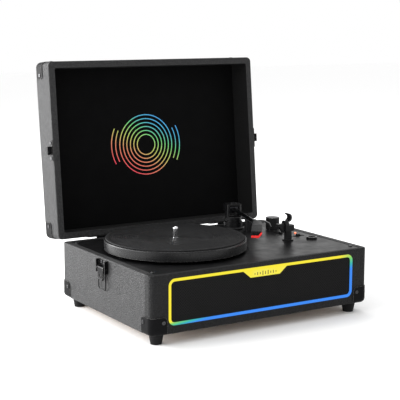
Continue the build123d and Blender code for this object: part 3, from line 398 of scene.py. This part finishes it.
def clear_red(name):
    """Red plastic, opaque, with a faint glow in place of its translucency."""
    s = Shader(name)
    cloud = s.noise(300.0, 3.0)
    colour = s.blend(s.ramp(cloud, 0.3, 0.7), (0.50, 0.003, 0.003), (0.66, 0.008, 0.006))
    s.link(colour, "Base Color")
    s.link(colour, "Emission Color")
    s.link(s.ramp(cloud, 0.3, 0.7, 0.18, 0.32), "Roughness")
    s.set(Emission_Strength=0.22, Specular_IOR_Level=0.3)
    return s.bump(((s.noise(900.0), 0.05),)).material


def lamp_glow(name):
    """The pilot lamp, lit."""
    s = Shader(name)
    cloud = s.noise(900.0, 2.0)
    colour = s.blend(cloud, (1.0, 0.10, 0.04), (1.0, 0.30, 0.14))
    s.link(colour, "Base Color")
    s.link(colour, "Emission Color")
    s.link(s.ramp(cloud, 0.3, 0.7, 0.1, 0.2), "Roughness")
    s.set(Emission_Strength=2.2)
    return s.bump(((cloud, 0.05),)).material


def paint(name, colour):
    """Thin printed paint."""
    s = Shader(name)
    grain = s.noise(1400.0, 3.0)
    s.link(s.blend(s.ramp(grain, 0.4, 0.8), colour, [c * 0.8 for c in colour]), "Base Color")
    s.link(s.ramp(grain, 0.3, 0.7, 0.4, 0.55), "Roughness")
    return s.bump(((grain, 0.1),), 0.0001).material


def woven(name):
    """The grille cloth's strands, with painted shade, near black, where they dip between their neighbours.
    """
    s = Shader(name)
    fibre = s.noise(3200.0, 3.0)
    patch = s.noise(30.0, 3.0)
    face_y = low("speaker_grille").y
    depth = s.node("ShaderNodeSeparateXYZ", {"Vector": s.where}).outputs["Y"]
    pit_shade_ramp = s.ramp(depth, face_y + WEAVE_DEPTH * 0.60, face_y + WEAVE_DEPTH * 0.22)
    shade = s.blend(s.ramp(patch, 0.3, 0.7), (0.050, 0.050, 0.051), (0.060, 0.060, 0.061))
    strand = s.blend(s.ramp(fibre, 0.4, 0.7), shade, (0.090, 0.090, 0.091))
    # Painted shade: near black in the weave's pits, the strands' colour on the crests.
    s.link(s.blend(pit_shade_ramp, (0.001, 0.001, 0.001), strand), "Base Color")
    s.link(s.ramp(fibre, 0.3, 0.7, 0.5, 0.7), "Roughness")
    s.set(Specular_IOR_Level=0.04)
    return s.bump(((fibre, 0.3),), 0.0001).material


# The leatherette's dark tone: random dark specks, and painted shade in the grain's creases.
SPECK_AND_CREASE_SHADE = (0.010, 0.010, 0.0105)
MATERIALS = {
    "leatherette": leatherette("leatherette", SPECK_AND_CREASE_SHADE, (0.044, 0.044, 0.045), 0.52, 0.26),
    # The lid's copy is a little darker than the base's: painted shade.
    "lid": leatherette("lid_leatherette_painted_shade", SPECK_AND_CREASE_SHADE, (0.038, 0.038, 0.039), 0.52, 0.26, "lid_shell"),
    # The front panel's copy is much darker than the sides': painted shade.
    "front": leatherette("front_leatherette_painted_shade", (0.006, 0.006, 0.0065), (0.016, 0.016, 0.0165), 0.52, 0.16),
    "deck": moulded("deck_plastic", (0.0030, 0.0030, 0.0033), 0.34, 0.07, 1100.0, 0.15, 0.003),
    "black": moulded("black_plastic", (0.005, 0.005, 0.0055), 0.34, level=0.25),
    "gloss": moulded("gloss_plastic", (0.003, 0.003, 0.0035), 0.14, 0.03, level=0.4),
    "grey": moulded("grey_plastic", (0.004, 0.004, 0.0045), 0.34, level=0.1),
    "knob": moulded("knob_plastic", (0.008, 0.008, 0.0085), 0.34, level=0.2),
    "guards": lacquered("guard_lacquer", (0.004, 0.004, 0.0045), 0.44, level=0.05),
    # The latch's and the wire's last values weaken their painted edge highlight.
    "latch": lacquered("latch_lacquer", (0.003, 0.003, 0.0035), 0.24, level=0.07, edge_highlight_strength=0.7),
    "wire": lacquered("wire_lacquer", (0.004, 0.004, 0.0045), 0.30, level=0.10, edge_highlight_strength=0.2),
    "platter": lacquered("platter_lacquer", (0.004, 0.004, 0.0045), 0.28, level=0.3),
    "screw": bare_metal("screw_steel", (0.06, 0.06, 0.063), 0.24),
    "steel": bare_metal("bright_steel", (0.55, 0.55, 0.56), 0.26),
    "chrome": bare_metal("plated_steel", (0.82, 0.82, 0.84), 0.14),
    "tube": bare_metal("dark_tube", (0.055, 0.055, 0.06), 0.26, (14.0, 1.0, 1.0)),
    "rubber": rubber("black_rubber"),
    "mat": rubber("mat_rubber"),
    "lining": flocked("lid_lining", LINING),
    "paper": flocked("cone_paper", (0.02, 0.02, 0.02)),
    "board": fibreboard("fibreboard"),
    "circuit": circuit("circuit_board"),
    "ring": lit_ring("lit_ring"),
    "badge": lit_badge("lit_badge"),
    "emblem": printed_lines_painted_glow("printed_lines_painted_glow"),
    "red": clear_red("clear_red"),
    "lamp": lamp_glow("lamp_glow"),
    "white": paint("white_paint", (0.70, 0.70, 0.70)),
    "grille": woven("grille_weave"),
    "dark_bars": paint("dark_paint", (0.006, 0.006, 0.004)),
}

LOOKS = {
    "leatherette": ("base_case",),
    "lid": ("lid_shell",),
    "front": ("front_panel",),
    "deck": ("deck_plate",),
    "black": ("tonearm_base", "arm_turret", "cue_housing", "cue_lever", "arm_rest", "jack_panel",
              "speed_switch", "autostop_switch", "thrust_washer"),
    "gloss": ("headphone_jack", "cartridge", "dc_inlet", "arm_clip"),
    "grey": ("headshell", "counterweight"),
    "knob": ("volume_knob",),
    "guards": ("base_guards", "lid_guards"),
    "latch": ("latch_plates", "latch_lever_left", "latch_lever_right", "lid_catches", "hinge_base_leaves",
              "lid_hinge_leaves", "cue_platform"),
    "wire": ("latch_bail_left", "latch_bail_right"),
    "platter": ("platter",),
    "screw": ("base_screws", "lid_screws", "deck_screws"),
    "steel": ("spindle_bearing", "circlip", "motor", "motor_pulley", "speaker_baskets", "foot_screws",
              "steel_pins"),
    "chrome": ("spindle", "audio_jacks"),
    "tube": ("arm_tube",),
    "rubber": ("feet", "drive_belt"),
    "mat": ("slipmat",),
    "lining": ("lid_lining",),
    "paper": ("speaker_cones",),
    "board": ("bottom_panel", "speaker_baffle"),
    "circuit": ("led_board", "amp_board"),
    "ring": ("light_ring",),
    "badge": ("badge",),
    "emblem": ("lid_emblem",),
    "red": ("stylus",),
    "lamp": ("pilot_lamp",),
    "grille": ("speaker_grille",),
}


def dress(obj, look):
    """Gives an object one material."""
    obj.data.materials.clear()
    obj.data.materials.append(MATERIALS[look])


for look, names in LOOKS.items():
    for name in names:
        dress(NODES[name], look)


# ---------------------------------------------------------------- mesh helpers
def piece(name, verts, faces, look, body, smooth=True):
    """A new mesh that rides on a body."""
    mesh = bpy.data.meshes.new(name)
    mesh.from_pydata([tuple(v) for v in verts], [], faces)
    mesh.update()
    obj = bpy.data.objects.new(name, mesh)
    bpy.context.scene.collection.objects.link(obj)
    dress(obj, look)
    for polygon in mesh.polygons:
        polygon.use_smooth = smooth
    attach(obj, body)
    return obj


def lathe(profile, centre, steps):
    """A closed surface of revolution about a vertical axis, from the section's (radius, height) points."""
    verts, faces = [], []
    count = len(profile)
    for i in range(steps):
        turn = 2 * math.pi * i / steps
        for radius, z in profile:
            verts.append((centre.x + radius * math.cos(turn), centre.y + radius * math.sin(turn), z))
    for i in range(steps):
        j = (i + 1) % steps
        for k in range(count):
            m = (k + 1) % count
            faces.append((i * count + k, j * count + k, j * count + m, i * count + m))
    return verts, faces


def bar(start, end, width, height, up=Vector((0, 0, 1))):
    """A low bar with a crowned top between two points: its corners and faces."""
    along = (end - start).normalized()
    side = along.cross(up).normalized() * width / 2
    crown = up * height
    section = (-side, -side * 0.8 + crown * 0.8, crown, side * 0.8 + crown * 0.8, side)
    verts = [start + p for p in section] + [end + p for p in section]
    count = len(section)
    faces = [(k, (k + 1) % count, (k + 1) % count + count, k + count) for k in range(count)]
    faces += [tuple(reversed(range(count))), tuple(range(count, 2 * count))]
    return verts, faces


def joined(parts):
    """Several (verts, faces) lists as one."""
    verts, faces = [], []
    for some_verts, some_faces in parts:
        start = len(verts)
        verts += some_verts
        faces += [tuple(start + i for i in face) for face in some_faces]
    return verts, faces


# ---------------------------------------------------------------- surface pieces
def in_rounded_panel(x, z, a, b):
    """Whether a point lies on the panel between two corners, inside its rounded corners."""
    dx = max(a.x + GRILLE_CORNER - x, x - (b.x - GRILLE_CORNER), 0)
    dz = max(a.z + GRILLE_CORNER - z, z - (b.z - GRILLE_CORNER), 0)
    return dx * dx + dz * dz <= GRILLE_CORNER * GRILLE_CORNER + 1e-9


def weave_height(x, z):
    """The weave's height as a share of WEAVE_DEPTH: 0 in its pits, 0.67 on its highest crests."""
    u = math.pi * (x + z) / WEAVE
    v = math.pi * (x - z) / WEAVE
    over = math.cos(u) * math.cos(v)
    return max(abs(math.sin(u)) * (0.55 + 0.45 * over), abs(math.sin(v)) * (0.55 - 0.45 * over))


def grille_cloth():
    """The grille's diagonal weave in relief: one sheet, open along the rounded panel's outline."""
    a, b = low("speaker_grille"), high("speaker_grille")
    columns = int((b.x - a.x) / WEAVE_STEP)
    rows = int((b.z - a.z) / WEAVE_STEP)
    pit_y = a.y + WEAVE_DEPTH + 0.05 * MM
    verts, faces, index = [], [], {}
    for i in range(columns + 1):
        for j in range(rows + 1):
            x = a.x + (b.x - a.x) * i / columns
            z = a.z + (b.z - a.z) * j / rows
            if in_rounded_panel(x, z, a, b):
                index[i, j] = len(verts)
                verts.append((x, pit_y - WEAVE_DEPTH * weave_height(x, z), z))
    for i in range(columns):
        for j in range(rows):
            corners = [index.get(key) for key in ((i, j), (i + 1, j), (i + 1, j + 1), (i, j + 1))]
            if None not in corners:
                faces.append(tuple(corners))
    cloth = piece("grille_cloth", verts, faces, "grille", "base")
    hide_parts("speaker_grille")


def ribbed_mat():
    """The platter's rubber mat, with fine ribs outside the label area."""
    a, b = low("slipmat"), high("slipmat")
    centre = middle("slipmat")
    outer = (b.x - a.x) / 2
    label_z = b.z - 0.6 * MM
    groove_z = b.z - 0.45 * MM
    profile = [(MAT_HOLE_R, a.z), (MAT_HOLE_R, b.z - 0.9 * MM), (MAT_HOLE_R + 0.4 * MM, label_z)]
    profile += [(MAT_LABEL_R - 1.2 * MM, label_z), (MAT_LABEL_R, b.z)]
    radius = MAT_LABEL_R + 1.6 * MM
    while radius < outer - MAT_MARGIN:
        profile += [(radius, b.z), (radius + 0.35 * MM, groove_z)]
        profile += [(radius + 0.85 * MM, groove_z), (radius + 1.2 * MM, b.z)]
        radius += MAT_RIB
    profile += [(outer - 1.2 * MM, b.z), (outer - 0.3 * MM, b.z - 0.35 * MM)]
    profile += [(outer, b.z - 1.0 * MM), (outer, a.z)]
    verts, faces = lathe(profile, centre, MAT_STEPS)
    faces = [tuple(reversed(face)) for face in faces]
    mat = piece("ribbed_mat", verts, faces, "mat", "platter")
    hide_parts("slipmat")


def badge_bars():
    """A row of short upright bars on the badge, like a level meter."""
    a, b = low("badge"), high("badge")
    mid_z = (a.z + b.z) / 2 - 0.2 * MM
    parts = []
    for i, share in enumerate(METER_BARS):
        x = (i - (len(METER_BARS) - 1) / 2) * METER_PITCH
        half = share * (b.z - a.z) / 2
        start = Vector((x, a.y + SUNK, mid_z - half))
        end = Vector((x, a.y + SUNK, mid_z + half))
        parts.append(bar(start, end, METER_BAR_W, METER_BAR_H, Vector((0, -1, 0))))
    verts, faces = joined(parts)
    piece("badge_bars", verts, faces, "dark_bars", "base", False)


def knob_pointer():
    """The white line in the volume knob's groove."""
    top = high("volume_knob").z
    mid = middle("volume_knob")
    reach = (high("volume_knob").y - low("volume_knob").y) / 2
    ray = Vector((math.cos(POINTER_ANGLE), math.sin(POINTER_ANGLE), 0)) * reach
    centre = Vector((mid.x, mid.y, top - POINTER_SUNK))
    start = centre + ray * 0.92
    end = centre + ray * 0.36
    verts, faces = bar(start, end, POINTER_W, POINTER_H)
    piece("knob_pointer", verts, faces, "white", "volume_knob", False)


def deck_marks():
    """Three short dashes beside the speed switch and a ring of ticks round the volume knob."""
    z = high("deck_plate").z - SUNK
    speed = middle("speed_switch")
    parts = []
    for i in (-1, 0, 1):
        start = Vector((speed.x + i * DASH_PITCH, speed.y + DASH_AWAY, z))
        parts.append(bar(start, start + Vector((0, DASH_LENGTH, 0)), DASH_W, PAINT_H))
    knob = middle("volume_knob")
    for i in range(TICKS):
        turn = math.radians(-90) + TICK_SWEEP * (i / (TICKS - 1) - 0.5)
        ray = Vector((math.cos(turn), math.sin(turn), 0))
        start = Vector((knob.x, knob.y, z)) + ray * TICK_R
        length = LONG_TICK_LENGTH if i % 5 == 0 else TICK_LENGTH
        parts.append(bar(start, start + ray * length, TICK_W, PAINT_H))
    verts, faces = joined(parts)
    piece("deck_marks", verts, faces, "white", "base", False)


grille_cloth()
ribbed_mat()
badge_bars()
knob_pointer()
deck_marks()


# ---------------------------------------------------------------- stage, light and camera
FLOOR_HALF = 6.0
LENS = 101.98
CAMERA_AT = CASE_MID + Vector((-0.8424, -1.3138, 0.4131))
CAMERA_AIM = CASE_MID + Vector((-0.0223, 0.0, 0.1575))
CAMERA_ROLL = math.radians(0.2)
LIGHT_AIM = CASE_MID + Vector((0, 0, 0.12))
SOFTBOXES = (
    ("rim_softbox", (-1.25, 1.35, 0.62), (1.3, 1.2), 60.0),
    ("left_softbox", (-1.9, 0.1, 0.6), (1.2, 1.2), 30.0),
    ("top_softbox", (0.3, 0.6, 1.9), (1.2, 0.9), 9.0),
)


def studio_floor():
    """A plain pale floor."""
    h = FLOOR_HALF
    verts = [(-h, -h, 0), (h, -h, 0), (h, h, 0), (-h, h, 0)]
    mesh = bpy.data.meshes.new("floor")
    mesh.from_pydata(verts, [], [(0, 1, 2, 3)])
    floor = bpy.data.objects.new("floor", mesh)
    bpy.context.scene.collection.objects.link(floor)
    s = Shader("floor_paper")
    grain = s.noise(300.0, 3.0)
    s.link(s.blend(s.ramp(grain, 0.3, 0.7), (0.975, 0.975, 0.975), (0.985, 0.985, 0.985)), "Base Color")
    s.set(Roughness=0.9, Specular_IOR_Level=0.1)
    floor.data.materials.append(s.material)


def softbox(name, offset, size, power):
    """A soft rectangular light, placed from the middle of the case and aimed at the player."""
    data = bpy.data.lights.new(name, "AREA")
    data.shape = "RECTANGLE"
    data.size, data.size_y = size
    data.energy = power
    light = bpy.data.objects.new(name, data)
    light.location = CASE_MID + Vector(offset)
    light.rotation_euler = (LIGHT_AIM - light.location).to_track_quat("-Z", "Y").to_euler()
    bpy.context.scene.collection.objects.link(light)


def studio_world():
    """An even white surround."""
    world = bpy.data.worlds.new("surround")
    world.use_nodes = True
    background = world.node_tree.nodes["Background"]
    background.inputs["Color"].default_value = (1.0, 1.0, 1.0, 1.0)
    background.inputs["Strength"].default_value = 1.0
    bpy.context.scene.world = world


def photo_camera():
    """The camera, at the photo's angle."""
    data = bpy.data.cameras.new("camera")
    data.sensor_width = 36.0
    data.lens = LENS
    camera = bpy.data.objects.new("camera", data)
    aim = (CAMERA_AIM - CAMERA_AT).to_track_quat("-Z", "Y").to_matrix().to_4x4()
    roll = Matrix.Rotation(CAMERA_ROLL, 4, "Z")
    camera.matrix_world = Matrix.Translation(CAMERA_AT) @ aim @ roll
    bpy.context.scene.collection.objects.link(camera)
    bpy.context.scene.camera = camera


studio_floor()
studio_world()
for row in SOFTBOXES:
    softbox(*row)
photo_camera()

bpy.context.scene.view_settings.view_transform = "Standard"
